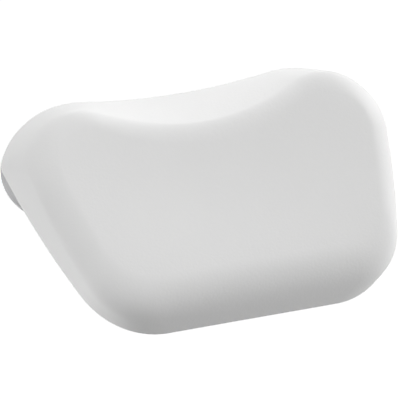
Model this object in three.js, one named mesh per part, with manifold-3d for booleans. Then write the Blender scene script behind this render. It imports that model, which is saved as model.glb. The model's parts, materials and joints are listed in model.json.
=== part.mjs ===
// Bath pillow: moulded foam with a dense skin, held on the sloped end wall of a bath by two suction cups.
// Lengths are millimetres. The pillow is drawn upright, with its flat back in the plane y = 0, its front
// towards -Y and the bottom of its back at z = 0, and is then leaned back on the wall. +X is to the right
// as seen from the front. The finished part has its origin on the wall, midway between the two cups.

import * as THREE from 'three';
import { mergeVertices } from 'three/addons/utils/BufferGeometryUtils.js';
import Module from 'manifold-3d';

// Slope of the bath's wall, from upright
const WALL_LEAN_DEG = 45;

// Back outline: a tapered panel with rounded bottom corners, two ears and a dip between them
const BACK_TOP_WIDTH = 344;
const BACK_BOTTOM_WIDTH = 237;
const BACK_HEIGHT = 196;
const BACK_CORNER_RADIUS = 62;
const BACK_SIDE_BOW_DEG = 11;
const BACK_TURN_RADIUS = 12.5;
const BACK_TURN_DEG = 41;
const BACK_EAR_RADIUS = 79.5;
const BACK_DIP = 6;

// Front outline, where the walls would meet the face if the rim were sharp
const FRONT_TOP_WIDTH = 300.5;
const FRONT_BOTTOM_WIDTH = 245.5;
const FRONT_TOP = 172;
const FRONT_BOTTOM = 8;
const FRONT_CORNER_RADIUS = 35.5;
const FRONT_SIDE_BOW_DEG = 7.5;
const FRONT_TURN_RADIUS = 65;
const FRONT_TURN_DEG = 35;
const FRONT_EAR_RADIUS = 34.5;
const FRONT_DIP = 25.5;

// Thickness at the front outline's top and bottom
const TOP_THICKNESS = 39;
const BOTTOM_THICKNESS = 38.5;

// Shallow oval dish in the face, with the height of its middle
const DISH_DEPTH = 6;
const DISH_WIDTH = 298;
const DISH_HEIGHT = 183;
const DISH_MIDDLE = 107.5;

// Rounded rim: how far it reaches down the wall and in over the face, and how full it is, at the top, the
// sides and the bottom. A fullness of 1 is a parabola, and more is squarer.
const TOP_RIM_ON_WALL = 6.5;
const TOP_RIM_ON_FACE = 11.5;
const TOP_RIM_FULLNESS = 0.85;
const SIDE_RIM_ON_WALL = 14;
const SIDE_RIM_ON_FACE = 16;
const SIDE_RIM_FULLNESS = 0.75;
const BOTTOM_RIM_ON_WALL = 25;
const BOTTOM_RIM_ON_FACE = 23;
const BOTTOM_RIM_FULLNESS = 0.9;
const BACK_EDGE_RADIUS = 1.5;

// Skin, and the gap between neighbouring pieces
const SKIN_THICKNESS = 2;
const GAP = 0.3;

// Suction cups
const CUP_SPACING = 228;
const CUP_HEIGHT = 148;
const CUP_DIAMETER = 72;
const CUP_STANDOFF = 20;
const CUP_RIM_WIDTH = 4;
const CUP_RIM_THICKNESS = 1.6;
const CUP_BOSS_DIAMETER = 22;
const CUP_BOSS_LENGTH = 5;
const CUP_WEB = 2.4;

// Mushroom studs
const STUD_HEAD_DIAMETER = 16;
const STUD_HEAD_THICKNESS = 3;
const STUD_NECK_DIAMETER = 8;
const STUD_COLLAR_DIAMETER = 16;
const STUD_COLLAR_THICKNESS = 2.2;
const STUD_STEM_DIAMETER = 7;
const STUD_STEM_LENGTH = 3;
const STUD_BULB_DIAMETER = 10;
const STUD_BULB_LENGTH = 3;

// Keyhole plates and the boxes behind them
const KEYHOLE_TRAVEL = 14;
const HEAD_CLEARANCE = 1;
const HEAD_FLOOR_CLEARANCE = 1;
const BOX_WALL = 1.6;
const PLATE_MARGIN = 3;
const FLANGE_MARGIN = 5;
const FLANGE_THICKNESS = 2;

// Steps along each stretch of an outline, rings across the pillow, steps round a turned piece, and the
// distance within which corners are one
const BOTTOM_STEPS = 3;
const CORNER_STEPS = 6;
const SIDE_STEPS = 3;
const TURN_STEPS = 3;
const EAR_STEPS = 5;
const DIP_STEPS = 6;
const OUTER_RINGS = { edge: 2, wall: 2, rim: 5, face: 3 };
const INNER_RINGS = { edge: 0, wall: 1, rim: 4, face: 2 };
const TURNED_STEPS = 40;
const ARC_STEPS = 8;
const WELD_DISTANCE = 1e-4;

const wasm = await Module();
wasm.setup();

// Solids: a closed three.js geometry becomes a manifold for cutting and joining, and comes back the same way

function welded(geometry) {
  geometry.deleteAttribute('normal');
  geometry.deleteAttribute('uv');
  const merged = mergeVertices(geometry, WELD_DISTANCE);
  const corners = merged.index.array;
  const kept = [];
  for (let i = 0; i < corners.length; i += 3) {
    const [a, b, c] = corners.slice(i, i + 3);
    if (a !== b && b !== c && c !== a) {
      kept.push(a, b, c);
    }
  }
  merged.setIndex(kept);
  return merged;
}

function solid(geometry) {
  const merged = welded(geometry);
  const vertProperties = new Float32Array(merged.attributes.position.array);
  const triVerts = new Uint32Array(merged.index.array);
  return new wasm.Manifold(new wasm.Mesh({ numProp: 3, vertProperties, triVerts }));
}

function geometryOf(manifold) {
  const { vertProperties, triVerts } = manifold.getMesh();
  const geometry = new THREE.BufferGeometry();
  geometry.setAttribute('position', new THREE.BufferAttribute(vertProperties, 3));
  geometry.setIndex(new THREE.BufferAttribute(triVerts, 1));
  geometry.computeVertexNormals();
  return geometry;
}

// Outlines: points in the x-z plane with outward normals

function direction(angle) {
  return new THREE.Vector2(Math.cos(angle), Math.sin(angle));
}

// The normals of an arc face away from its centre, or towards it where facing is -1
function arcPoints(centre, radius, from, to, steps, facing = 1) {
  const points = [];
  for (let i = 0; i < steps; i += 1) {
    const angle = from + ((to - from) * i) / steps;
    const normal = direction(angle);
    const point = centre.clone().addScaledVector(normal, radius);
    points.push({ point, normal: normal.multiplyScalar(facing) });
  }
  return points;
}

function linePoints(from, to, normal, steps) {
  const points = [];
  for (let i = 0; i < steps; i += 1) {
    points.push({ point: from.clone().lerp(to, i / steps), normal: normal.clone() });
  }
  return points;
}

// Right half of an outline, from the middle of the bottom edge to the middle of the neck dip: a straight
// bottom, a round corner, a side that bows out a little, an ear that turns tightly and then widely, and the
// dip. Each arc is tangent to the next, and the dip to both ears.
function halfOutline(sizes) {
  const { topWidth, bottomWidth, top, bottom, cornerRadius, turnRadius, earRadius, dip } = sizes;
  const foot = new THREE.Vector2(bottomWidth / 2, bottom);
  const along = new THREE.Vector2(topWidth / 2, top).sub(foot).normalize();
  const sideNormal = new THREE.Vector2(along.y, -along.x);
  const sideAngle = Math.atan2(sideNormal.y, sideNormal.x);
  const sideStart = sideAngle - THREE.MathUtils.degToRad(sizes.sideBowDeg) / 2;
  const sideEnd = sideAngle + THREE.MathUtils.degToRad(sizes.sideBowDeg) / 2;
  const turnEnd = sideEnd + THREE.MathUtils.degToRad(sizes.turnDeg);
  const rise = top - earRadius + (earRadius - turnRadius) * Math.sin(turnEnd) - bottom - cornerRadius;
  const turnRise = turnRadius * Math.sin(sideEnd) - cornerRadius * Math.sin(sideStart);
  const sideRadius = (rise + turnRise) / (Math.sin(sideEnd) - Math.sin(sideStart));
  const sideHeight = bottom + cornerRadius - (sideRadius - cornerRadius) * Math.sin(sideStart);
  const side = foot.clone().addScaledVector(sideNormal, -sideRadius);
  side.addScaledVector(along, (sideHeight - side.y) / along.y);
  const corner = side.clone().addScaledVector(direction(sideStart), sideRadius - cornerRadius);
  const turn = side.clone().addScaledVector(direction(sideEnd), sideRadius - turnRadius);
  const ear = turn.clone().addScaledVector(direction(turnEnd), turnRadius - earRadius);
  const dipRadius = (ear.x ** 2 - 2 * earRadius * dip + dip ** 2) / (2 * dip);
  const dipCentre = new THREE.Vector2(0, top - dip + dipRadius);
  const earToDip = dipCentre.clone().sub(ear).angle();
  const down = -Math.PI / 2;
  const bottomMiddle = new THREE.Vector2(0, bottom);
  const bottomEnd = new THREE.Vector2(corner.x, bottom);
  return [
    ...linePoints(bottomMiddle, bottomEnd, direction(down), BOTTOM_STEPS),
    ...arcPoints(corner, cornerRadius, down, sideStart, CORNER_STEPS),
    ...arcPoints(side, sideRadius, sideStart, sideEnd, SIDE_STEPS),
    ...arcPoints(turn, turnRadius, sideEnd, turnEnd, TURN_STEPS),
    ...arcPoints(ear, earRadius, turnEnd, earToDip, EAR_STEPS),
    ...arcPoints(dipCentre, dipRadius, earToDip - Math.PI, down, DIP_STEPS, -1),
    { point: new THREE.Vector2(0, top - dip), normal: new THREE.Vector2(0, 1) },
  ];
}

function outline(sizes) {
  const right = halfOutline(sizes);
  const mirrored = right.slice(1, -1).reverse();
  const left = mirrored.map(({ point, normal }) => ({
    point: new THREE.Vector2(-point.x, point.y),
    normal: new THREE.Vector2(-normal.x, normal.y),
  }));
  return [...right, ...left];
}

const backOutline = outline({
  topWidth: BACK_TOP_WIDTH,
  bottomWidth: BACK_BOTTOM_WIDTH,
  top: BACK_HEIGHT,
  bottom: 0,
  cornerRadius: BACK_CORNER_RADIUS,
  sideBowDeg: BACK_SIDE_BOW_DEG,
  turnRadius: BACK_TURN_RADIUS,
  turnDeg: BACK_TURN_DEG,
  earRadius: BACK_EAR_RADIUS,
  dip: BACK_DIP,
});

const frontOutline = outline({
  topWidth: FRONT_TOP_WIDTH,
  bottomWidth: FRONT_BOTTOM_WIDTH,
  top: FRONT_TOP,
  bottom: FRONT_BOTTOM,
  cornerRadius: FRONT_CORNER_RADIUS,
  sideBowDeg: FRONT_SIDE_BOW_DEG,
  turnRadius: FRONT_TURN_RADIUS,
  turnDeg: FRONT_TURN_DEG,
  earRadius: FRONT_EAR_RADIUS,
  dip: FRONT_DIP,
});

// A size that changes round the outline, from the side's value to the top's and the bottom's
function roundOutline(normal, atTop, atSide, atBottom) {
  const up = Math.max(normal.y, 0) ** 2;
  const down = Math.max(-normal.y, 0) ** 2;
  return atSide + (atTop - atSide) * up + (atBottom - atSide) * down;
}

function thicknessAt(z) {
  const share = (z - FRONT_BOTTOM) / (FRONT_TOP - FRONT_BOTTOM);
  return BOTTOM_THICKNESS + (TOP_THICKNESS - BOTTOM_THICKNESS) * share;
}

function faceAt(x, z, inset) {
  const across = (x / (DISH_WIDTH / 2)) ** 2 + ((z - DISH_MIDDLE) / (DISH_HEIGHT / 2)) ** 2;
  const dish = DISH_DEPTH * Math.max(1 - across, 0) ** 2;
  return new THREE.Vector3(x, inset - thicknessAt(z) + dish, z);
}

// A rounded corner between two points. The fuller it is, the nearer it comes to the sharp corner.
function roundedCorner(from, corner, to, fullness, steps) {
  const points = [];
  for (let i = 0; i <= steps; i += 1) {
    const share = i / steps;
    const near = (1 - share) ** 2;
    const middle = 2 * share * (1 - share) * fullness;
    const far = share ** 2;
    const point = from.clone().multiplyScalar(near).addScaledVector(corner, middle).addScaledVector(to, far);
    points.push(point.divideScalar(near + middle + far));
  }
  return points;
}

// The path across the pillow at one point of the outlines: the back edge, the wall, the rounded rim and the
// face, all drawn in by the inset. A wall that leans drawn in square to itself meets the back and the face
// further in or further out than the inset.
function pathAcross(back, front, inset, rings) {
  const onBack = (distance, y) => {
    const p = back.point.clone().addScaledVector(back.normal, -distance);
    return new THREE.Vector3(p.x, y, p.y);
  };
  const onFront = (distance) => {
    const p = front.point.clone().addScaledVector(front.normal, -distance);
    return faceAt(p.x, p.y, inset);
  };
  const depth = thicknessAt(front.point.y);
  const leanOut = front.point.clone().sub(back.point).dot(back.normal);
  const slant = Math.hypot(leanOut, depth);
  const cornerInset = (inset * (slant + leanOut)) / depth;
  const foot = onBack((inset * (slant - leanOut)) / depth, -inset);
  const corner = onFront(cornerInset);
  const wall = corner.clone().sub(foot);
  const onWall = roundOutline(front.normal, TOP_RIM_ON_WALL, SIDE_RIM_ON_WALL, BOTTOM_RIM_ON_WALL);
  const onFace = roundOutline(front.normal, TOP_RIM_ON_FACE, SIDE_RIM_ON_FACE, BOTTOM_RIM_ON_FACE);
  const fullness = roundOutline(front.normal, TOP_RIM_FULLNESS, SIDE_RIM_FULLNESS, BOTTOM_RIM_FULLNESS);
  const rimStart = corner.clone().addScaledVector(wall, -(onWall - cornerInset) / wall.length());
  const rimEnd = onFront(onFace);
  const path = [];
  let wallStart = foot;
  if (rings.edge > 0) {
    wallStart = foot.clone().addScaledVector(wall, BACK_EDGE_RADIUS / wall.length());
    const edge = new THREE.QuadraticBezierCurve3(onBack(inset + BACK_EDGE_RADIUS, -inset), foot, wallStart);
    path.push(...edge.getPoints(rings.edge).slice(0, -1));
  }
  for (let i = 0; i < rings.wall; i += 1) {
    path.push(wallStart.clone().lerp(rimStart, i / rings.wall));
  }
  path.push(...roundedCorner(rimStart, corner, rimEnd, fullness, rings.rim));
  for (let i = 1; i < rings.face; i += 1) {
    const share = 1 - i / rings.face;
    path.push(faceAt(rimEnd.x * share, DISH_MIDDLE + (rimEnd.z - DISH_MIDDLE) * share, inset));
  }
  return path;
}

// The pillow's closed form, drawn in by the inset on every side
function pillowForm(inset, rings) {
  const paths = backOutline.map((back, i) => pathAcross(back, frontOutline[i], inset, rings));
  const around = paths.length;
  const across = paths[0].length;
  const positions = paths.flat().flatMap((p) => p.toArray());
  const backMiddle = positions.push(0, -inset, DISH_MIDDLE) / 3 - 1;
  const frontMiddle = positions.push(...faceAt(0, DISH_MIDDLE, inset).toArray()) / 3 - 1;
  const index = [];
  for (let i = 0; i < around; i += 1) {
    const here = i * across;
    const next = ((i + 1) % around) * across;
    index.push(backMiddle, next, here);
    for (let j = 0; j < across - 1; j += 1) {
      index.push(here + j, next + j, here + j + 1);
      index.push(next + j, next + j + 1, here + j + 1);
    }
    index.push(frontMiddle, here + across - 1, next + across - 1);
  }
  const geometry = new THREE.BufferGeometry();
  geometry.setAttribute('position', new THREE.Float32BufferAttribute(positions, 3));
  geometry.setIndex(index);
  return geometry;
}

// Sockets: slot-shaped layers sunk into the back, drawn about the stud's axis. A slot runs down from the
// stud's place in use to the place where its head comes out.

function slotShape(width) {
  const shape = new THREE.Shape();
  shape.absarc(0, 0, width / 2, 0, Math.PI, false);
  shape.absarc(0, -KEYHOLE_TRAVEL, width / 2, Math.PI, 2 * Math.PI, false);
  return shape;
}

function sunk(shape, from, to) {
  const geometry = new THREE.ExtrudeGeometry(shape, {
    depth: to - from,
    bevelEnabled: false,
    curveSegments: ARC_STEPS,
  });
  geometry.rotateX(Math.PI / 2);
  geometry.translate(0, -from, 0);
  return solid(geometry);
}

// Depths below the back, and widths, of a socket's layers
const BOX_INSIDE_WIDTH = STUD_HEAD_DIAMETER + 2 * HEAD_CLEARANCE;
const BOX_WIDTH = BOX_INSIDE_WIDTH + 2 * BOX_WALL;
const PLATE_WIDTH = BOX_WIDTH + 2 * PLATE_MARGIN;
const FLANGE_WIDTH = PLATE_WIDTH + 2 * FLANGE_MARGIN;
const FLANGE_TOP = SKIN_THICKNESS + GAP;
const FLANGE_BOTTOM = FLANGE_TOP + FLANGE_THICKNESS;
const BOX_TOP = FLANGE_BOTTOM + GAP;
const BOX_FLOOR = BOX_TOP + STUD_HEAD_THICKNESS + HEAD_FLOOR_CLEARANCE;
const BOX_BOTTOM = BOX_FLOOR + BOX_WALL;

function keyhole() {
  const slot = sunk(slotShape(STUD_NECK_DIAMETER + 2 * GAP), -GAP, BOX_TOP);
  const hole = new THREE.Shape().absarc(0, -KEYHOLE_TRAVEL, BOX_INSIDE_WIDTH / 2, 0, 2 * Math.PI, false);
  return slot.add(sunk(hole, -GAP, BOX_TOP));
}

function keyholePlate() {
  const face = sunk(slotShape(PLATE_WIDTH), 0, FLANGE_BOTTOM);
  const flange = sunk(slotShape(FLANGE_WIDTH), FLANGE_TOP, FLANGE_BOTTOM);
  return face.add(flange).subtract(keyhole());
}

function socketBox() {
  const outside = sunk(slotShape(BOX_WIDTH), BOX_TOP, BOX_BOTTOM);
  return outside.subtract(sunk(slotShape(BOX_INSIDE_WIDTH), BOX_TOP - GAP, BOX_FLOOR));
}

// Room for a socket in the skin and in the foam
function plateOpening() {
  return sunk(slotShape(PLATE_WIDTH + 2 * GAP), -GAP, FLANGE_TOP);
}

function socketPocket() {
  const flangeRoom = sunk(slotShape(FLANGE_WIDTH + 2 * GAP), 0, BOX_TOP);
  return flangeRoom.add(sunk(slotShape(BOX_WIDTH + 2 * GAP), 0, BOX_BOTTOM + GAP));
}

// Studs and cups are turned about the Y axis. Their profiles are the radius and the distance behind the back.

const COLLAR_END = GAP + STUD_COLLAR_THICKNESS;
const BULB_START = COLLAR_END + STUD_STEM_LENGTH;
const BULB_END = BULB_START + STUD_BULB_LENGTH;
const HEAD_START = -BOX_TOP - STUD_HEAD_THICKNESS;

function turned(points) {
  const profile = points.map(([radius, y]) => new THREE.Vector2(radius, y));
  return solid(new THREE.LatheGeometry(profile, TURNED_STEPS));
}

function stud() {
  const edge = STUD_HEAD_THICKNESS / 4;
  return turned([
    [0, HEAD_START],
    [STUD_HEAD_DIAMETER / 2 - edge, HEAD_START],
    [STUD_HEAD_DIAMETER / 2, HEAD_START + edge],
    [STUD_HEAD_DIAMETER / 2, -BOX_TOP],
    [STUD_NECK_DIAMETER / 2, -BOX_TOP],
    [STUD_NECK_DIAMETER / 2, GAP],
    [STUD_COLLAR_DIAMETER / 2, GAP],
    [STUD_COLLAR_DIAMETER / 2, COLLAR_END],
    [STUD_STEM_DIAMETER / 2, COLLAR_END],
    [STUD_STEM_DIAMETER / 2, BULB_START],
    [STUD_BULB_DIAMETER / 2, BULB_START],
    [STUD_STEM_DIAMETER / 2, BULB_END],
    [0, BULB_END],
  ]);
}

function curvePoints(from, control, to) {
  const curve = new THREE.QuadraticBezierCurve(
    new THREE.Vector2(...from),
    new THREE.Vector2(...control),
    new THREE.Vector2(...to),
  );
  return curve.getPoints(ARC_STEPS).map((p) => p.toArray());
}

function suctionCup() {
  const bossTop = COLLAR_END + GAP;
  const bossEnd = bossTop + CUP_BOSS_LENGTH;
  const bossRadius = CUP_BOSS_DIAMETER / 2;
  const rimRadius = CUP_DIAMETER / 2;
  const hollowRadius = rimRadius - CUP_RIM_WIDTH;
  const pocketEnd = BULB_END + GAP;
  const hollowTop = pocketEnd + CUP_WEB;
  const boreRadius = STUD_STEM_DIAMETER / 2 + GAP;
  const pocketRadius = STUD_BULB_DIAMETER / 2 + GAP;
  const skirtEdge = CUP_STANDOFF - CUP_RIM_THICKNESS;
  const skirtShoulder = bossRadius + (rimRadius - bossRadius) / 2;
  return turned([
    [0, pocketEnd],
    [pocketRadius, pocketEnd],
    [pocketRadius, BULB_START - GAP],
    [boreRadius, BULB_START - GAP],
    [boreRadius, bossTop],
    [bossRadius, bossTop],
    ...curvePoints(
      [bossRadius, bossEnd],
      [skirtShoulder, bossEnd + CUP_RIM_THICKNESS],
      [rimRadius, skirtEdge],
    ),
    [rimRadius, CUP_STANDOFF],
    ...curvePoints([hollowRadius, CUP_STANDOFF], [skirtShoulder, hollowTop], [0, hollowTop]),
  ]);
}

// Assembly

const SKIN_FINISH = { color: 0xf1f1ef, roughness: 0.55, metalness: 0 };
const FOAM_FINISH = { color: 0xe9e6dc, roughness: 0.95, metalness: 0 };
const PLATE_FINISH = { color: 0xdadada, roughness: 0.45, metalness: 0 };
const STUD_FINISH = { color: 0xe6e6e4, roughness: 0.35, metalness: 0 };
const CUP_FINISH = { color: 0xa9aaac, roughness: 0.3, metalness: 0 };

function piece(name, manifold, finish) {
  const mesh = new THREE.Mesh(geometryOf(manifold), new THREE.MeshStandardMaterial(finish));
  mesh.name = name;
  return mesh;
}

const sides = [
  { name: 'left', x: -CUP_SPACING / 2 },
  { name: 'right', x: CUP_SPACING / 2 },
];

function cutForSockets(body, tool) {
  return sides.reduce((rest, side) => rest.subtract(tool.translate([side.x, 0, CUP_HEIGHT])), body);
}

const hollow = solid(pillowForm(SKIN_THICKNESS, INNER_RINGS));
const skin = solid(pillowForm(0, OUTER_RINGS)).subtract(hollow);
const core = solid(pillowForm(SKIN_THICKNESS + GAP, INNER_RINGS));

const pillow = new THREE.Group();
pillow.add(piece('pillow_skin', cutForSockets(skin, plateOpening()), SKIN_FINISH));
pillow.add(piece('foam_core', cutForSockets(core, socketPocket()), FOAM_FINISH));

for (const side of sides) {
  const holder = new THREE.Group();
  holder.add(piece(`${side.name}_keyhole_plate`, keyholePlate(), PLATE_FINISH));
  holder.add(piece(`${side.name}_socket_box`, socketBox(), PLATE_FINISH));
  holder.add(piece(`${side.name}_stud`, stud(), STUD_FINISH));
  holder.add(piece(`${side.name}_suction_cup`, suctionCup(), CUP_FINISH));
  holder.position.set(side.x, 0, CUP_HEIGHT);
  pillow.add(holder);
}

// The wall plane goes through the origin, midway between the cups, and leans back
pillow.position.set(0, -CUP_STANDOFF, -CUP_HEIGHT);
const bathPillow = new THREE.Group();
bathPillow.add(pillow);
bathPillow.rotation.x = THREE.MathUtils.degToRad(-WALL_LEAN_DEG);

export default bathPillow;
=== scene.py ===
# %% [markdown]
# # A moulded bath pillow
#
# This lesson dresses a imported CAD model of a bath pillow: a soft white moulding with two ears and a dip for
# the neck, held on the sloped wall of a bath by two suction cups. The CAD bodies are a fixed frame in metres,
# with +Z up. Every piece made here is drawn in that same frame and rides on one of its bodies.

# %% Load the frame
import json
import math

import bmesh
import bpy
import numpy as np
from mathutils import Matrix, Vector


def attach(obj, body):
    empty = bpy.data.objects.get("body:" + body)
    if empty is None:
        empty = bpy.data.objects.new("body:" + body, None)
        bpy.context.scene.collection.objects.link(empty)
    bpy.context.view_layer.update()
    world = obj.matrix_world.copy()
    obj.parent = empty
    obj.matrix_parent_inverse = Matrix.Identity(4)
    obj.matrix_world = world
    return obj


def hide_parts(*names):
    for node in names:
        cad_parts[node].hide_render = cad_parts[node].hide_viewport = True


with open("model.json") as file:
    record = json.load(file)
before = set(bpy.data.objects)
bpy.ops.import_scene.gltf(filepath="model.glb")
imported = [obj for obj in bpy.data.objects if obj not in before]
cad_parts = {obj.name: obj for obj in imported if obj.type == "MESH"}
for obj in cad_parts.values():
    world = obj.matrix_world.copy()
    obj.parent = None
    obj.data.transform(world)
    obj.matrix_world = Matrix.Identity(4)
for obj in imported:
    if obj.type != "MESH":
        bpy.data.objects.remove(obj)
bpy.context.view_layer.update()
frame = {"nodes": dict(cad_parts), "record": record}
print("nodes", sorted(frame["nodes"]))

# %% [markdown]
# ## Where the pillow hangs
#
# A bath's end wall slopes, so the pillow leans back with it. It is easiest to draw the pillow standing
# upright, with its flat back in the plane y = 0, its front towards -Y and the bottom of its back at z = 0,
# and to turn the finished mesh into place. The lean and the places of the cups come from the frame's own
# joints, so a change in the CAD model carries over.

# %% Place of the upright drawing in the frame
MM = 0.001
CUP_STANDOFF = 20 * MM
CUP_HEIGHT = 148 * MM

joints = {joint["name"]: joint for joint in frame["record"]["behaviour"]["joints"]}
_, toward_wall, below_wall = joints["right_cup_spin"]["axis"]
WALL_LEAN = math.atan2(-below_wall, toward_wall)
CUP_X = joints["right_cup_spin"]["pos_m"][0]
PLACE = Matrix.Rotation(-WALL_LEAN, 4, "X") @ Matrix.Translation((0, -CUP_STANDOFF, -CUP_HEIGHT))
SIDES = {"left": -CUP_X, "right": CUP_X}
print(f"wall leans {math.degrees(WALL_LEAN):.0f} degrees, cups {2000 * CUP_X:.0f} mm apart")

# %% [markdown]
# ## Camera
#
# The photograph looks at the pillow from its left and a little above, with hardly any perspective, as a long
# lens sees it from far away. A camera six metres off with a very long lens gives the same view. Its aim is
# written as a point in the middle of the pillow and a small shift in the picture, both real sizes.

# %% Camera at the photograph's angle
VIEW_AZIMUTH = math.radians(-24.85)
VIEW_ELEVATION = math.radians(21.39)
VIEW_DISTANCE = 6.0
VIEW_REACH = 100.0
VIEW_WIDTH = 298.6 * MM
PILLOW_MIDDLE = Vector((0, -68 * MM, -11.9 * MM))
AIM_RIGHT = -17.4 * MM
AIM_UP = -1.2 * MM


def direction(azimuth, elevation):
    """The unit vector from the pillow to a place seen at this azimuth and elevation."""
    flat = math.cos(elevation)
    return Vector((math.sin(azimuth) * flat, -math.cos(azimuth) * flat, math.sin(elevation)))


def aim(holder, place, target):
    """Puts a camera or lamp at a place and turns it to a target."""
    holder.location = place
    holder.rotation_euler = (target - place).to_track_quat("-Z", "Y").to_euler()


camera = bpy.data.objects.new("camera", bpy.data.cameras.new("camera"))
bpy.context.scene.collection.objects.link(camera)
to_camera = direction(VIEW_AZIMUTH, VIEW_ELEVATION)
picture_right = Vector((math.cos(VIEW_AZIMUTH), math.sin(VIEW_AZIMUTH), 0))
picture_up = to_camera.cross(picture_right)
target = PILLOW_MIDDLE + AIM_RIGHT * picture_right + AIM_UP * picture_up
aim(camera, target + VIEW_DISTANCE * to_camera, target)
camera.data.lens = camera.data.sensor_width * VIEW_DISTANCE / VIEW_WIDTH
camera.data.clip_end = VIEW_REACH
bpy.context.scene.camera = camera
print(f"camera with a {camera.data.lens:.0f} mm lens, {VIEW_DISTANCE} m away")

# %% [markdown]
# ## Floor and light
#
# The photograph's shades are soft and its ground is pure white, which fits light from many sides. A world
# picture could give that, but large round lamps are easier to weigh against each other, so eight of them
# stand round the pillow, the strongest at the front left and low behind the left side, with a faint glow of
# the world overhead. The floor lies well below the pillow, so that its shadow falls outside the picture. It
# shows to the camera but throws no light back, or the pillow's underside would lose its shade. The view
# transform is Standard, because a filmic curve would turn the white floor grey.

# %% Floor
FLOOR_DEPTH = 3.0
FLOOR_SIZE = 60.0
FLOOR_WHITE = (0.9, 0.9, 0.9)
FLOOR_ROUGHNESS = 0.9
FLOOR_GLOW = 1.0


def shader_of(material, colour):
    """Turns on a material's nodes and gives its shader, with the colour set."""
    material.use_nodes = True
    shader = material.node_tree.nodes["Principled BSDF"]
    shader.inputs["Base Color"].default_value = (*colour, 1)
    return shader


floor_mesh = bpy.data.meshes.new("floor")
reach = FLOOR_SIZE / 2
corners = [(-reach, -reach), (reach, -reach), (reach, reach), (-reach, reach)]
floor_mesh.from_pydata([(x, y, -FLOOR_DEPTH) for x, y in corners], [], [(0, 1, 2, 3)])
floor = bpy.data.objects.new("floor", floor_mesh)
bpy.context.scene.collection.objects.link(floor)
floor_white = bpy.data.materials.new("floor_white")
floor_shader = shader_of(floor_white, FLOOR_WHITE)
floor_shader.inputs["Roughness"].default_value = FLOOR_ROUGHNESS
floor_shader.inputs["Emission Color"].default_value = (1, 1, 1, 1)
floor_shader.inputs["Emission Strength"].default_value = FLOOR_GLOW
floor_mesh.materials.append(floor_white)
floor.visible_diffuse = False
floor.visible_glossy = False
floor.visible_shadow = False
print("floor", FLOOR_DEPTH, "m below the cups")

# %% Glow of the world overhead
ROOF_BY_ELEVATION = {25: 0.0, 50: 0.12, 90: 0.04}

world = bpy.data.worlds.new("light_tent")
world.use_nodes = True
bpy.context.scene.world = world
nodes, links = world.node_tree.nodes, world.node_tree.links
nodes.clear()
where = nodes.new("ShaderNodeTexCoord")
split = nodes.new("ShaderNodeSeparateXYZ")
height = nodes.new("ShaderNodeMapRange")
height.inputs["From Min"].default_value = -1.0
roof = nodes.new("ShaderNodeValToRGB")
roof.color_ramp.elements.remove(roof.color_ramp.elements[1])
for step, (elevation, share) in enumerate(ROOF_BY_ELEVATION.items()):
    at = (math.sin(math.radians(elevation)) + 1) / 2
    stop = roof.color_ramp.elements.new(at) if step else roof.color_ramp.elements[0]
    stop.position = at
    stop.color = (share, share, share, 1)
tent = nodes.new("ShaderNodeBackground")
backdrop = nodes.new("ShaderNodeBackground")
backdrop.inputs["Color"].default_value = (1, 1, 1, 1)
path = nodes.new("ShaderNodeLightPath")
mix = nodes.new("ShaderNodeMixShader")
surface = nodes.new("ShaderNodeOutputWorld")
links.new(where.outputs["Generated"], split.inputs[0])
links.new(split.outputs["Z"], height.inputs["Value"])
links.new(height.outputs["Result"], roof.inputs["Fac"])
links.new(roof.outputs["Color"], tent.inputs["Color"])
links.new(path.outputs["Is Camera Ray"], mix.inputs[0])
links.new(tent.outputs[0], mix.inputs[1])
links.new(backdrop.outputs[0], mix.inputs[2])
links.new(mix.outputs[0], surface.inputs[0])
print("glow by elevation in degrees", ROOF_BY_ELEVATION)

# %% Lamps
LAMP_DISTANCE = 1.6
LAMP_DIAMETER = 2.4
LAMPS = {
    "right_lamp": {"azimuth": 90, "elevation": 0, "watts": 14.5},
    "right_low_lamp": {"azimuth": 90, "elevation": -35, "watts": 11},
    "right_high_lamp": {"azimuth": 90, "elevation": 35, "watts": 9},
    "right_back_lamp": {"azimuth": 135, "elevation": 35, "watts": 16.5},
    "back_lamp": {"azimuth": 180, "elevation": 35, "watts": 11.5},
    "left_front_lamp": {"azimuth": -45, "elevation": 35, "watts": 25},
    "left_back_lamp": {"azimuth": -135, "elevation": -35, "watts": 27},
    "right_front_lamp": {"azimuth": 45, "elevation": -35, "watts": 8},
}

for name, given in LAMPS.items():
    lamp = bpy.data.lights.new(name, "AREA")
    lamp.shape = "DISK"
    lamp.size = LAMP_DIAMETER
    lamp.energy = given["watts"]
    holder = bpy.data.objects.new(name, lamp)
    holder.visible_camera = False
    bpy.context.scene.collection.objects.link(holder)
    seen_at = direction(math.radians(given["azimuth"]), math.radians(given["elevation"]))
    aim(holder, PILLOW_MIDDLE + LAMP_DISTANCE * seen_at, PILLOW_MIDDLE)
bpy.context.scene.view_settings.view_transform = "Standard"
print("lamps", list(LAMPS))

# %% [markdown]
# ## Finishes
#
# Five materials cover the object. Each is a Principled shader whose colour, roughness and bump come from
# noise on Object coordinates, which are the frame's own metres, so the grain has its real size. Image
# textures would need files and a UV map, and a moulded grain has neither seam nor direction.

# %% Material helper


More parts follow.
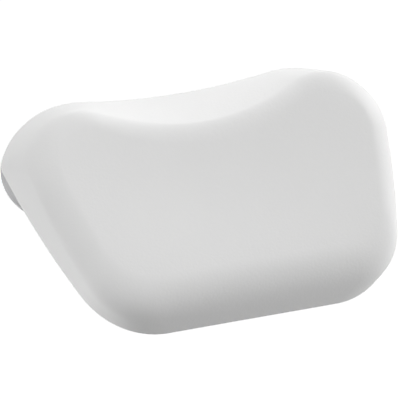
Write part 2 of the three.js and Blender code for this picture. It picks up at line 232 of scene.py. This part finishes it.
def finish(name, colours, roughness, patch, grain, bump):
    """A moulded surface: two close colours in soft patches, uneven gloss, and a fine raised grain.

    patch and grain are lengths: the width of a colour patch and of one bump. bump is the bump's height.
    """
    material = bpy.data.materials.new(name)
    shader = shader_of(material, colours[0])
    nodes, links = material.node_tree.nodes, material.node_tree.links
    where = nodes.new("ShaderNodeTexCoord")
    clouds = nodes.new("ShaderNodeTexNoise")
    clouds.inputs["Scale"].default_value = 1 / patch
    clouds.inputs["Detail"].default_value = 3
    links.new(where.outputs["Object"], clouds.inputs["Vector"])
    tint = nodes.new("ShaderNodeMix")
    tint.data_type = "RGBA"
    tint.inputs["A"].default_value = (*colours[0], 1)
    tint.inputs["B"].default_value = (*colours[1], 1)
    links.new(clouds.outputs["Fac"], tint.inputs["Factor"])
    links.new(tint.outputs["Result"], shader.inputs["Base Color"])
    gloss = nodes.new("ShaderNodeMapRange")
    gloss.inputs["To Min"].default_value = roughness[0]
    gloss.inputs["To Max"].default_value = roughness[1]
    links.new(clouds.outputs["Fac"], gloss.inputs["Value"])
    links.new(gloss.outputs["Result"], shader.inputs["Roughness"])
    pebbles = nodes.new("ShaderNodeTexVoronoi")
    pebbles.feature = "SMOOTH_F1"
    pebbles.inputs["Scale"].default_value = 1 / grain
    links.new(where.outputs["Object"], pebbles.inputs["Vector"])
    raised = nodes.new("ShaderNodeBump")
    raised.invert = True
    raised.inputs["Strength"].default_value = 1.0
    raised.inputs["Distance"].default_value = bump
    links.new(pebbles.outputs["Distance"], raised.inputs["Height"])
    links.new(raised.outputs["Normal"], shader.inputs["Normal"])
    return material


# %% [markdown]
# The skin is the dense outside of the moulded polyurethane: white, satin, with the fine pebbled grain of the
# mould. The foam inside is a warmer white with open cells. The sockets are a light grey plastic with a fine
# matt grain from the tool, and the studs a harder, glossier white one. The cups are a clear grey vinyl, which
# lets a little light through.

# %% The five finishes
VINYL_CLEARNESS = 0.35
VINYL_IOR = 1.53

skin_white = finish(
    "skin_white", [(0.80, 0.80, 0.80), (0.83, 0.83, 0.825)], (0.5, 0.6), 60 * MM, 1.7 * MM, 0.07 * MM
)
foam_cream = finish(
    "foam_cream", [(0.78, 0.75, 0.66), (0.86, 0.83, 0.75)], (0.9, 1.0), 12 * MM, 0.7 * MM, 0.3 * MM
)
socket_grey = finish(
    "socket_grey", [(0.62, 0.62, 0.62), (0.66, 0.66, 0.66)], (0.45, 0.55), 15 * MM, 0.35 * MM, 0.02 * MM
)
stud_white = finish(
    "stud_white", [(0.76, 0.76, 0.75), (0.8, 0.8, 0.79)], (0.2, 0.3), 9 * MM, 0.5 * MM, 0.005 * MM
)
cup_vinyl = finish(
    "clear_vinyl", [(0.57, 0.57, 0.58), (0.65, 0.65, 0.66)], (0.18, 0.3), 14 * MM, 0.6 * MM, 0.004 * MM
)
cup_shader = cup_vinyl.node_tree.nodes["Principled BSDF"]
cup_shader.inputs["Transmission Weight"].default_value = VINYL_CLEARNESS
cup_shader.inputs["IOR"].default_value = VINYL_IOR
print("finishes", [m.name for m in (skin_white, foam_cream, socket_grey, stud_white, cup_vinyl)])

# %% [markdown]
# ## The pillow's outlines
#
# Three outlines give the pillow its shape: one round the flat back, a smaller one round the front, and one
# round the dished panel that is left inside the soft rim. Each is a straight bottom, round corners, sides
# that bow a little, two ears and a dip between them. They are arcs that run smoothly into each other, so a
# few radii draw them, and the points are only as dense as the mesh needs.

# %% Outline sizes
BACK = {
    "top_width": 344 * MM, "bottom_width": 237 * MM, "top": 196 * MM, "bottom": 0.0,
    "corner_radius": 62 * MM, "side_bow": math.radians(11),
    "turn_radius": 12.5 * MM, "turn": math.radians(41), "ear_radius": 79.5 * MM, "dip": 6 * MM,
}
FRONT = {
    "top_width": 300.5 * MM, "bottom_width": 245.5 * MM, "top": 172 * MM, "bottom": 8 * MM,
    "corner_radius": 35.5 * MM, "side_bow": math.radians(7.5),
    "turn_radius": 65 * MM, "turn": math.radians(35), "ear_radius": 34.5 * MM, "dip": 25.5 * MM,
}
PANEL = {
    "top_width": 265 * MM, "bottom_width": 216 * MM, "top": 157 * MM, "bottom": 32 * MM,
    "corner_radius": 37 * MM, "side_bow": math.radians(5),
    "turn_radius": 30 * MM, "turn": math.radians(45), "ear_radius": 30 * MM, "dip": 25.5 * MM,
}


def unit(angle):
    return np.array([math.cos(angle), math.sin(angle)])


def arc(centre, radius, start, end, steps, facing=1.0):
    """Points of an arc and their outward normals, without its last point."""
    angles = start + (end - start) * np.arange(steps) / steps
    normals = np.stack([np.cos(angles), np.sin(angles)], axis=1)
    return centre + radius * normals, facing * normals


def half_outline(o, steps):
    """The right half of an outline, from the middle of the bottom to the middle of the dip."""
    foot = np.array([o["bottom_width"] / 2, o["bottom"]])
    along = np.array([o["top_width"] / 2, o["top"]]) - foot
    along /= np.linalg.norm(along)
    side_normal = np.array([along[1], -along[0]])
    side_angle = math.atan2(side_normal[1], side_normal[0])
    start, end = side_angle - o["side_bow"] / 2, side_angle + o["side_bow"] / 2
    turn_end = end + o["turn"]
    corner_r, turn_r, ear_r = o["corner_radius"], o["turn_radius"], o["ear_radius"]
    rise = o["top"] - ear_r + (ear_r - turn_r) * math.sin(turn_end) - o["bottom"] - corner_r
    rise += turn_r * math.sin(end) - corner_r * math.sin(start)
    side_r = rise / (math.sin(end) - math.sin(start))
    side = foot - side_r * side_normal
    height = o["bottom"] + corner_r - (side_r - corner_r) * math.sin(start)
    side = side + along * (height - side[1]) / along[1]
    corner = side + (side_r - corner_r) * unit(start)
    turn = side + (side_r - turn_r) * unit(end)
    ear = turn + (turn_r - ear_r) * unit(turn_end)
    dip_r = (ear[0] ** 2 - 2 * ear_r * o["dip"] + o["dip"] ** 2) / (2 * o["dip"])
    dip = np.array([0.0, o["top"] - o["dip"] + dip_r])
    ear_end = math.atan2(*(dip - ear)[::-1])
    down = -math.pi / 2
    bottom = np.stack([corner[0] * np.arange(steps["bottom"]) / steps["bottom"],
                       np.full(steps["bottom"], o["bottom"])], axis=1)
    stretches = [
        (bottom, np.tile(unit(down), (steps["bottom"], 1))),
        arc(corner, corner_r, down, start, steps["corner"]),
        arc(side, side_r, start, end, steps["side"]),
        arc(turn, turn_r, end, turn_end, steps["turn"]),
        arc(ear, ear_r, turn_end, ear_end, steps["ear"]),
        arc(dip, dip_r, ear_end - math.pi, down, steps["dip"], -1.0),
        (np.array([[0.0, o["top"] - o["dip"]]]), np.array([[0.0, 1.0]])),
    ]
    return [np.concatenate(part) for part in zip(*stretches)]


def outline(o, steps):
    """A whole outline: the right half and its mirror image, as one closed loop."""
    points, normals = half_outline(o, steps)
    mirror = np.array([-1.0, 1.0])
    return (np.concatenate([points, points[-2:0:-1] * mirror]),
            np.concatenate([normals, normals[-2:0:-1] * mirror]))


STEPS = {"bottom": 14, "corner": 28, "side": 18, "turn": 12, "ear": 20, "dip": 18}
print("points round an outline:", len(outline(BACK, STEPS)[0]))

# %% [markdown]
# ## The moulded form
#
# From each point of the back outline a path runs up the wall, over a rounded rim and on to the face, which is
# dished a little for the head. Cloth simulation suits a sewn cushion, but this pillow is cast in a mould, so
# its surface follows the rule exactly. The face inside the rim is filled with a grid stretched between its
# four sides, because a fan of triangles would pinch the highlights at its middle. The same function draws the
# skin's inside and the foam, drawn in by an inset.

# %% Form sizes
TOP_THICKNESS = 39 * MM
BOTTOM_THICKNESS = 38.5 * MM
DISH_DEPTH = 6 * MM
DISH_WIDTH = 298 * MM
DISH_HEIGHT = 183 * MM
DISH_MIDDLE = 107.5 * MM
RIM_ON_WALL = {"top": 6.5 * MM, "side": 22 * MM, "bottom": 26 * MM}
RIM_FULLNESS = {"top": 0.85, "side": 0.55, "bottom": 0.9}
BACK_EDGE_RADIUS = 1.5 * MM
SKIN_THICKNESS = 2 * MM
GAP = 0.3 * MM
SHORT_SHARE = 0.02


def thickness_at(z):
    share = (z - FRONT["bottom"]) / (FRONT["top"] - FRONT["bottom"])
    return BOTTOM_THICKNESS + (TOP_THICKNESS - BOTTOM_THICKNESS) * share


def on_face(points, inset):
    """Lifts points of the x-z plane on to the dished face."""
    x, z = points[..., 0], points[..., 1]
    across = (x / (DISH_WIDTH / 2)) ** 2 + ((z - DISH_MIDDLE) / (DISH_HEIGHT / 2)) ** 2
    dish = DISH_DEPTH * np.maximum(1 - across, 0) ** 2
    return np.stack([x, inset - thickness_at(z) + dish, z], axis=-1)


def carried_on(start, end, inset):
    """The face at its points, carried on straight to points outside it."""
    here = on_face(start, inset)
    near = on_face(start + SHORT_SHARE * (end - start), inset)
    return here + (near - here) / SHORT_SHARE


def round_outline(normals, sizes):
    """A size that changes round the outline, from the side's value to the top's and the bottom's."""
    up = np.maximum(normals[:, 1:], 0) ** 2
    down = np.maximum(-normals[:, 1:], 0) ** 2
    side = sizes["side"]
    return side + (sizes["top"] - side) * up + (sizes["bottom"] - side) * down


def bend(start, corner, end, share, fullness=1.0):
    """A point of a rounded corner for every point of the outline: the fuller, the nearer to the corner."""
    near, middle, far = (1 - share) ** 2, 2 * share * (1 - share) * fullness, share ** 2
    return (near * start + middle * corner + far * end) / (near + middle + far)


# %% Paths from the back to the face


def rings_across(inset, steps, counts):
    """Closed rings of points, from the back edge to the end of the rim."""
    back, back_normals = outline(BACK, steps)
    front, front_normals = outline(FRONT, steps)
    depth = thickness_at(front[:, 1:])
    lean_out = np.sum((front - back) * back_normals, axis=1, keepdims=True)
    slant = np.hypot(lean_out, depth)

    def on_back(distance):
        p = back - back_normals * distance
        return np.stack([p[:, 0], np.full(len(p), -inset), p[:, 1]], axis=1)

    corner_inset = inset * (slant + lean_out) / depth
    foot = on_back(inset * (slant - lean_out) / depth)
    panel, _ = outline(PANEL, steps)
    rim_end = on_face(panel, inset)
    corner = carried_on(panel, front - front_normals * corner_inset, inset)
    wall = corner - foot
    wall /= np.linalg.norm(wall, axis=1, keepdims=True)
    rim_start = corner - wall * (round_outline(front_normals, RIM_ON_WALL) - corner_inset)
    edge_start = on_back(inset * (slant - lean_out) / depth + BACK_EDGE_RADIUS)
    edge_end = foot + wall * BACK_EDGE_RADIUS
    rings = [bend(edge_start, foot, edge_end, i / counts["edge"]) for i in range(counts["edge"])]
    rings += [edge_end + (rim_start - edge_end) * i / counts["wall"] for i in range(counts["wall"])]
    fullness = round_outline(front_normals, RIM_FULLNESS)
    rings += [bend(rim_start, corner, rim_end, i / counts["rim"], fullness) for i in range(counts["rim"] + 1)]
    return rings


# %% A grid inside the rim


def share_along(points):
    """How far along a row of points each one lies, from 0 to 1."""
    lengths = np.linalg.norm(np.diff(points, axis=0), axis=1)
    return np.concatenate([[0.0], np.cumsum(lengths)]) / lengths.sum()


def face_grid(loop, steps, inset):
    """Fills a closed loop with a grid stretched between its four sides.

    Gives the inner points, and the index of every grid corner in the list of loop points and inner points.
    """
    size = len(loop)
    low = steps["bottom"] + steps["corner"] // 2
    high = size // 2 - low
    columns, rows = 2 * low, high - low
    edge_of = np.full((columns + 1, rows + 1), -1)
    edge_of[:, 0] = (np.arange(columns + 1) - low) % size
    edge_of[:, rows] = size - high - np.arange(columns + 1)
    edge_of[0, :] = size - low - np.arange(rows + 1)
    edge_of[columns, :] = low + np.arange(rows + 1)
    edge = loop[edge_of % size]
    u = ((share_along(edge[:, 0]) + share_along(edge[:, -1])) / 2)[:, None, None]
    v = ((share_along(edge[0]) + share_along(edge[-1])) / 2)[None, :, None]
    flat = (1 - v) * edge[:, :1] + v * edge[:, -1:] + (1 - u) * edge[:1] + u * edge[-1:]
    flat = flat - (1 - u) * ((1 - v) * edge[0, 0] + v * edge[0, -1])
    flat = flat - u * ((1 - v) * edge[-1, 0] + v * edge[-1, -1])
    inside = edge_of < 0
    edge_of[inside] = size + np.arange(inside.sum())
    return on_face(flat[inside], inset), edge_of


def pillow_form(inset, steps, counts):
    """Points and faces of the closed pillow form, drawn in by the inset on every side."""
    rings = rings_across(inset, steps, counts)
    size, last = len(rings[0]), len(rings) - 1
    inner, grid = face_grid(rings[-1][:, [0, 2]], steps, inset)
    points = np.concatenate([*rings, inner])
    faces = [tuple(reversed(range(size)))]
    for ring in range(last):
        for i in range(size):
            here, along = ring * size + i, ring * size + (i + 1) % size
            faces.append((here, along, along + size, here + size))
    grid = grid + last * size
    for i in range(grid.shape[0] - 1):
        for j in range(grid.shape[1] - 1):
            faces.append((grid[i, j], grid[i + 1, j], grid[i + 1, j + 1], grid[i, j + 1]))
    return points, [tuple(int(k) for k in face) for face in faces]


OUTER_COUNTS = {"edge": 5, "wall": 8, "rim": 16}
INNER_STEPS = {"bottom": 5, "corner": 10, "side": 6, "turn": 4, "ear": 8, "dip": 6}
INNER_COUNTS = {"edge": 1, "wall": 3, "rim": 8}
print("quads in the outer form:", len(pillow_form(0.0, STEPS, OUTER_COUNTS)[1]))

# %% [markdown]
# ## Sockets sunk in the back
#
# Each cup's stud slides in a keyhole, in a plate let into the pillow's back. A keyhole is a narrow slot with
# a round hole at its foot: the stud's head goes in by the hole, and its neck slides up the slot. The skin has
# a slot-shaped opening for the plate and the foam a pocket for the box behind it. Boolean cuts are the plain
# way to make them, because the back is flat and a cut there leaves no mark on a curved surface.

# %% Socket sizes
KEYHOLE_TRAVEL = -joints["right_stud_slide"]["range_m"][0]
STUD_HEAD_DIAMETER = 16 * MM
STUD_NECK_DIAMETER = 8 * MM
STUD_HEAD_THICKNESS = 3 * MM
HEAD_CLEARANCE = 1 * MM
HEAD_FLOOR_CLEARANCE = 1 * MM
BOX_WALL = 1.6 * MM
PLATE_MARGIN = 3 * MM
FLANGE_MARGIN = 5 * MM
FLANGE_THICKNESS = 2 * MM

HOLE_WIDTH = STUD_HEAD_DIAMETER + 2 * HEAD_CLEARANCE
BOX_WIDTH = HOLE_WIDTH + 2 * BOX_WALL
PLATE_WIDTH = BOX_WIDTH + 2 * PLATE_MARGIN
FLANGE_WIDTH = PLATE_WIDTH + 2 * FLANGE_MARGIN
FLANGE_TOP = SKIN_THICKNESS + GAP
FLANGE_BOTTOM = FLANGE_TOP + FLANGE_THICKNESS
BOX_TOP = FLANGE_BOTTOM + GAP
BOX_BOTTOM = BOX_TOP + STUD_HEAD_THICKNESS + HEAD_FLOOR_CLEARANCE + BOX_WALL
SLOT_STEPS = 48


def slot_loop(width):
    """A slot's outline about the stud's axis, counted from its right side, upwards round."""
    half = SLOT_STEPS // 2
    top = arc(np.zeros(2), width / 2, 0, math.pi, half)[0]
    foot = arc(np.array([0.0, -KEYHOLE_TRAVEL]), width / 2, math.pi, 2 * math.pi, half)[0]
    return np.concatenate([top, foot])


def sunk_loop(loop, depth):
    """A loop of the x-z plane at a depth below the pillow's back."""
    return np.stack([loop[:, 0], np.full(len(loop), -depth), loop[:, 1]], axis=1)


def stacked(loops, closed):
    """Points and faces of a skin over a stack of loops, closed on itself or by two end faces."""
    size, count = len(loops[0]), len(loops)
    faces = []
    for ring in range(count if closed else count - 1):
        above = (ring + 1) % count
        for i in range(size):
            j = (i + 1) % size
            faces.append((ring * size + i, ring * size + j, above * size + j, above * size + i))
    if not closed:
        faces.append(tuple(reversed(range(size))))
        faces.append(tuple(range((count - 1) * size, count * size)))
    return np.concatenate(loops), faces


# %% Mesh helpers
SHARP_ANGLE = math.radians(40)


def faced_out(mesh):
    """The mesh with its faces turned outwards."""
    work = bmesh.new()
    work.from_mesh(mesh)
    bmesh.ops.recalc_face_normals(work, faces=work.faces)
    work.to_mesh(mesh)
    work.free()
    return mesh


def new_mesh(name, points, faces):
    """A mesh of points of the upright drawing, turned into place."""
    mesh = bpy.data.meshes.new(name)
    mesh.from_pydata([tuple(p) for p in points], [], faces)
    mesh.transform(PLACE)
    return faced_out(mesh)


def new_piece(name, mesh, material, body, node):
    """An object for a finished mesh, which rides on a body and stands for a CAD node."""
    mesh.materials.clear()
    mesh.materials.append(material)
    mesh.shade_smooth()
    mesh.set_sharp_from_angle(angle=SHARP_ANGLE)
    piece = bpy.data.objects.new(name, mesh)
    bpy.context.scene.collection.objects.link(piece)
    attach(piece, body)
    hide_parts(node)
    print(name, "has", len(mesh.polygons), "faces and replaces", node)
    return piece


def cut(mesh, tools):
    """A copy of a mesh with each tool mesh cut out of it."""
    holder = bpy.data.objects.new("cut", mesh)
    bpy.context.scene.collection.objects.link(holder)
    tool_holders = []
    for tool in tools:
        tool_holder = bpy.data.objects.new("tool", tool)
        bpy.context.scene.collection.objects.link(tool_holder)
        tool_holders.append(tool_holder)
        modifier = holder.modifiers.new("cut", "BOOLEAN")
        modifier.operation = "DIFFERENCE"
        modifier.solver = "EXACT"
        modifier.object = tool_holder
    result = bpy.data.meshes.new_from_object(holder.evaluated_get(bpy.context.evaluated_depsgraph_get()))
    for spare in [holder, *tool_holders]:
        bpy.data.objects.remove(spare)
    return result


def socket_tool(width, depth):
    """Slot-shaped cutting tools for both sockets, from just outside the back to a depth."""
    loops = [sunk_loop(slot_loop(width), d) for d in (-GAP, depth)]
    points, faces = stacked(loops, closed=False)
    return [new_mesh("tool", points + np.array([x, 0, CUP_HEIGHT]), faces) for x in SIDES.values()]


# %% [markdown]
# ## The skin
#
# The outer form and the inner form, turned inside out, are one mesh: a shell two millimetres thick. The two
# openings then join its inside to its outside.

# %% Pillow skin
outer_points, outer_faces = pillow_form(0.0, STEPS, OUTER_COUNTS)
inner_points, inner_faces = pillow_form(SKIN_THICKNESS, INNER_STEPS, INNER_COUNTS)
turned_in = [tuple(len(outer_points) + k for k in reversed(face)) for face in inner_faces]
shell_points = [tuple(p) for p in np.concatenate([outer_points, inner_points])]
shell = bpy.data.meshes.new("pillow")
shell.from_pydata(shell_points, [], outer_faces + turned_in)
shell.transform(PLACE)
shell = cut(shell, socket_tool(PLATE_WIDTH + 2 * GAP, FLANGE_TOP))
pillow = new_piece("pillow", shell, skin_white, "pillow", "pillow_skin")

# %% [markdown]
# ## The foam
#
# Nobody sees the foam in use, but the part may be cut open, so it has its own form a little inside the skin,
# with a stepped pocket for each socket.

# %% Foam core
core_points, core_faces = pillow_form(SKIN_THICKNESS + GAP, INNER_STEPS, INNER_COUNTS)
core = new_mesh("foam", core_points, core_faces)
flange_room = socket_tool(FLANGE_WIDTH + 2 * GAP, BOX_TOP)
box_room = socket_tool(BOX_WIDTH + 2 * GAP, BOX_BOTTOM + GAP)
core = cut(core, flange_room + box_room)
foam = new_piece("foam", core, foam_cream, "pillow", "foam_core")

# %% [markdown]
# ## Keyhole plates
#
# A plate is a stack of outlines: the keyhole on the inside and the slot-shaped face and flange on the
# outside, with the edges eased as a moulded piece has them. Joining loop to loop gives clean faces all round.
# The socket boxes behind the plates are closed in by foam, so their CAD solids stay and only get the plastic
# finish.

# %% Keyhole plates
EASED = 0.4 * MM


def keyhole_loop(ease):
    """The keyhole's outline with as many points as a slot's, widened by the ease."""
    neck = STUD_NECK_DIAMETER / 2 + GAP + ease
    hole = HOLE_WIDTH / 2 + ease
    meets = math.asin(neck / hole)
    half = SLOT_STEPS // 2
    top = arc(np.zeros(2), neck, 0, math.pi, half)[0]
    foot = arc(np.array([0.0, -KEYHOLE_TRAVEL]), hole, math.pi / 2 + meets, 2.5 * math.pi - meets, half)[0]
    return np.concatenate([top, foot])


plate_loops = [
    sunk_loop(keyhole_loop(EASED), 0),
    sunk_loop(keyhole_loop(0), EASED),
    sunk_loop(keyhole_loop(0), FLANGE_BOTTOM),
    sunk_loop(slot_loop(FLANGE_WIDTH), FLANGE_BOTTOM),
    sunk_loop(slot_loop(FLANGE_WIDTH), FLANGE_TOP),
    sunk_loop(slot_loop(PLATE_WIDTH), FLANGE_TOP),
    sunk_loop(slot_loop(PLATE_WIDTH), EASED),
    sunk_loop(slot_loop(PLATE_WIDTH - 2 * EASED), 0),
]
plate_points, plate_faces = stacked(plate_loops, closed=True)
for side, x in SIDES.items():
    plate_mesh = new_mesh("plate", plate_points + np.array([x, 0, CUP_HEIGHT]), plate_faces)
    new_piece(f"{side}_plate", plate_mesh, socket_grey, "pillow", f"{side}_keyhole_plate")
    box_node = frame["nodes"][f"{side}_socket_box"]
    for material_slot in box_node.material_slots:
        material_slot.material = socket_grey
    print(box_node.name, "keeps its CAD mesh, finished in", socket_grey.name)

# %% [markdown]
# ## Turned pieces
#
# A stud and a suction cup are round about one axis, so each follows a rule: a profile swept round a circle.
# Geometry Nodes suit this well. The tree below draws the profile from named sizes, sweeps it, and welds the
# seams. A profile is a list of stretches, each a straight line of two corners or a curve of three, and a
# corner names its radius and its distance behind the pillow's back.

# %% A tree for turned pieces
AXIS = "Axis"
WELD = 0.001 * MM
ROUND_STEPS = 96
CURVE_STEPS = 24
LINE_ENDS = ["Start", "End"]
CURVE_POINTS = ["Start", "Middle", "End"]


def turned_tree(name, sizes, profile):
    """A node tree with an input for each size, which turns the profile into a closed mesh."""
    tree = bpy.data.node_groups.new(name, "GeometryNodeTree")
    for size in [AXIS, *sizes]:
        tree.interface.new_socket(size, in_out="INPUT", socket_type="NodeSocketFloat")
    tree.interface.new_socket("Steps round", in_out="INPUT", socket_type="NodeSocketInt")
    tree.interface.new_socket("Steps in a curve", in_out="INPUT", socket_type="NodeSocketInt")
    tree.interface.new_socket("Finish", in_out="INPUT", socket_type="NodeSocketMaterial")
    tree.interface.new_socket("Geometry", in_out="OUTPUT", socket_type="NodeSocketGeometry")
    nodes, links = tree.nodes, tree.links
    given = nodes.new("NodeGroupInput").outputs
    joined = nodes.new("GeometryNodeJoinGeometry")
    corners = {}

    def corner(radius, height):
        if (radius, height) not in corners:
            point = nodes.new("ShaderNodeCombineXYZ")
            links.new(given[radius], point.inputs["X"])
            links.new(given[height], point.inputs["Y"])
            corners[radius, height] = point.outputs[0]
        return corners[radius, height]

    for stretch in profile:
        curved = len(stretch) == 3
        kind = "GeometryNodeCurveQuadraticBezier" if curved else "GeometryNodeCurvePrimitiveLine"
        piece = nodes.new(kind)
        if curved:
            links.new(given["Steps in a curve"], piece.inputs["Resolution"])
        for place, (radius, height) in zip(CURVE_POINTS if curved else LINE_ENDS, stretch):
            links.new(corner(radius, height), piece.inputs[place])
        links.new(piece.outputs["Curve"], joined.inputs[0])

    circle = nodes.new("GeometryNodeCurvePrimitiveCircle")
    circle.inputs["Radius"].default_value = 1.0
    links.new(given["Steps round"], circle.inputs["Resolution"])
    about_axis = nodes.new("GeometryNodeTransform")
    about_axis.inputs["Translation"].default_value = (-1.0, 0, 0)
    about_axis.inputs["Scale"].default_value = (1, -1, 1)
    swept = nodes.new("GeometryNodeCurveToMesh")
    welded = nodes.new("GeometryNodeMergeByDistance")
    welded.inputs["Distance"].default_value = WELD
    realized = nodes.new("GeometryNodeRealizeInstances")
    finished = nodes.new("GeometryNodeSetMaterial")
    result = nodes.new("NodeGroupOutput")
    links.new(joined.outputs[0], about_axis.inputs["Geometry"])
    links.new(circle.outputs["Curve"], swept.inputs["Curve"])
    links.new(about_axis.outputs[0], swept.inputs["Profile Curve"])
    links.new(swept.outputs["Mesh"], welded.inputs["Geometry"])
    links.new(welded.outputs[0], realized.inputs[0])
    links.new(realized.outputs[0], finished.inputs["Geometry"])
    links.new(given["Finish"], finished.inputs["Material"])
    links.new(finished.outputs[0], result.inputs[0])
    return tree


def turned_mesh(tree, sizes, material, x):
    """The tree's result as a plain mesh, on the axis of one stud."""
    holder = bpy.data.objects.new("turned", bpy.data.meshes.new("turned"))
    bpy.context.scene.collection.objects.link(holder)
    modifier = holder.modifiers.new("turned", "NODES")
    modifier.node_group = tree
    values = {AXIS: 0.0, "Steps round": ROUND_STEPS, "Steps in a curve": CURVE_STEPS, "Finish": material}
    values.update(sizes)
    for item in tree.interface.items_tree:
        if item.in_out == "INPUT":
            modifier[item.identifier] = values[item.name]
    mesh = bpy.data.meshes.new_from_object(holder.evaluated_get(bpy.context.evaluated_depsgraph_get()))
    bpy.data.objects.remove(holder)
    to_stud = Matrix.Translation((x, 0, CUP_HEIGHT)) @ Matrix.Rotation(-math.pi / 2, 4, "X")
    mesh.transform(PLACE @ to_stud)
    return faced_out(mesh)


# %% [markdown]
# A stud is a hard plastic mushroom: a wide head that stays behind the keyhole, a neck for the slot, a collar
# that lies on the plate, and a stem with a bulb that the cup's boss snaps over.

# %% Studs
COLLAR_DIAMETER = 16 * MM
COLLAR_THICKNESS = 2.2 * MM
STEM_DIAMETER = 7 * MM
STEM_LENGTH = 3 * MM
BULB_DIAMETER = 10 * MM
BULB_LENGTH = 3 * MM
COLLAR_END = GAP + COLLAR_THICKNESS
BULB_START = COLLAR_END + STEM_LENGTH
BULB_END = BULB_START + BULB_LENGTH
STUD_EDGE = STUD_HEAD_THICKNESS / 4

stud_sizes = {
    "Head radius": STUD_HEAD_DIAMETER / 2,
    "Head face radius": STUD_HEAD_DIAMETER / 2 - STUD_EDGE,
    "Head start": -BOX_TOP - STUD_HEAD_THICKNESS,
    "Head shoulder": -BOX_TOP - STUD_HEAD_THICKNESS + STUD_EDGE,
    "Head end": -BOX_TOP,
    "Neck radius": STUD_NECK_DIAMETER / 2,
    "Collar start": GAP,
    "Collar radius": COLLAR_DIAMETER / 2,
    "Collar end": COLLAR_END,
    "Stem radius": STEM_DIAMETER / 2,
    "Bulb start": BULB_START,
    "Bulb radius": BULB_DIAMETER / 2,
    "Bulb end": BULB_END,
}
stud_profile = [
    [(AXIS, "Head start"), ("Head face radius", "Head start")],
    [("Head face radius", "Head start"), ("Head radius", "Head start"), ("Head radius", "Head shoulder")],
    [("Head radius", "Head shoulder"), ("Head radius", "Head end")],
    [("Head radius", "Head end"), ("Neck radius", "Head end")],
    [("Neck radius", "Head end"), ("Neck radius", "Collar start")],
    [("Neck radius", "Collar start"), ("Collar radius", "Collar start")],
    [("Collar radius", "Collar start"), ("Collar radius", "Collar end")],
    [("Collar radius", "Collar end"), ("Stem radius", "Collar end")],
    [("Stem radius", "Collar end"), ("Stem radius", "Bulb start")],
    [("Stem radius", "Bulb start"), ("Bulb radius", "Bulb start")],
    [("Bulb radius", "Bulb start"), ("Bulb radius", "Bulb end"), ("Stem radius", "Bulb end")],
    [("Stem radius", "Bulb end"), (AXIS, "Bulb end")],
]
stud_tree = turned_tree("turned_stud", stud_sizes, stud_profile)
for side, x in SIDES.items():
    stud_mesh = turned_mesh(stud_tree, stud_sizes, stud_white, x)
    new_piece(f"{side}_mushroom_stud", stud_mesh, stud_white, f"{side}_stud", f"{side}_stud")

# %% [markdown]
# A suction cup is one vinyl moulding: a round boss with a pocket that snaps over the stud's bulb, and a thin
# skirt that spreads to a flat rim. Its hollow side faces the wall.

# %% Suction cups
RIM_RADIUS = 36 * MM
RIM_WIDTH = 4 * MM
RIM_THICKNESS = 1.6 * MM
BOSS_RADIUS = 11 * MM
BOSS_LENGTH = 5 * MM
BOSS_TOP = COLLAR_END + GAP
BOSS_END = BOSS_TOP + BOSS_LENGTH
BOSS_EDGE = 1 * MM
CUP_WEB = 2.4 * MM

cup_sizes = {
    "Pocket end": BULB_END + GAP,
    "Pocket radius": stud_sizes["Bulb radius"] + GAP,
    "Pocket start": BULB_START - GAP,
    "Bore radius": stud_sizes["Stem radius"] + GAP,
    "Boss top": BOSS_TOP,
    "Boss face radius": BOSS_RADIUS - BOSS_EDGE,
    "Boss radius": BOSS_RADIUS,
    "Boss shoulder": BOSS_TOP + BOSS_EDGE,
    "Boss end": BOSS_END,
    "Skirt middle radius": (BOSS_RADIUS + RIM_RADIUS) / 2,
    "Skirt middle": BOSS_END + RIM_THICKNESS,
    "Rim radius": RIM_RADIUS,
    "Rim top": CUP_STANDOFF - RIM_THICKNESS,
    "Wall": CUP_STANDOFF,
    "Hollow radius": RIM_RADIUS - RIM_WIDTH,
    "Hollow top": BULB_END + GAP + CUP_WEB,
}
cup_profile = [
    [(AXIS, "Pocket end"), ("Pocket radius", "Pocket end")],
    [("Pocket radius", "Pocket end"), ("Pocket radius", "Pocket start")],
    [("Pocket radius", "Pocket start"), ("Bore radius", "Pocket start")],
    [("Bore radius", "Pocket start"), ("Bore radius", "Boss top")],
    [("Bore radius", "Boss top"), ("Boss face radius", "Boss top")],
    [("Boss face radius", "Boss top"), ("Boss radius", "Boss top"), ("Boss radius", "Boss shoulder")],
    [("Boss radius", "Boss shoulder"), ("Boss radius", "Boss end")],
    [("Boss radius", "Boss end"), ("Skirt middle radius", "Skirt middle"), ("Rim radius", "Rim top")],
    [("Rim radius", "Rim top"), ("Rim radius", "Wall")],
    [("Rim radius", "Wall"), ("Hollow radius", "Wall")],
    [("Hollow radius", "Wall"), ("Skirt middle radius", "Hollow top"), (AXIS, "Hollow top")],
]
cup_tree = turned_tree("turned_cup", cup_sizes, cup_profile)
for side, x in SIDES.items():
    cup_mesh = turned_mesh(cup_tree, cup_sizes, cup_vinyl, x)
    new_piece(f"{side}_cup", cup_mesh, cup_vinyl, f"{side}_cup", f"{side}_suction_cup")
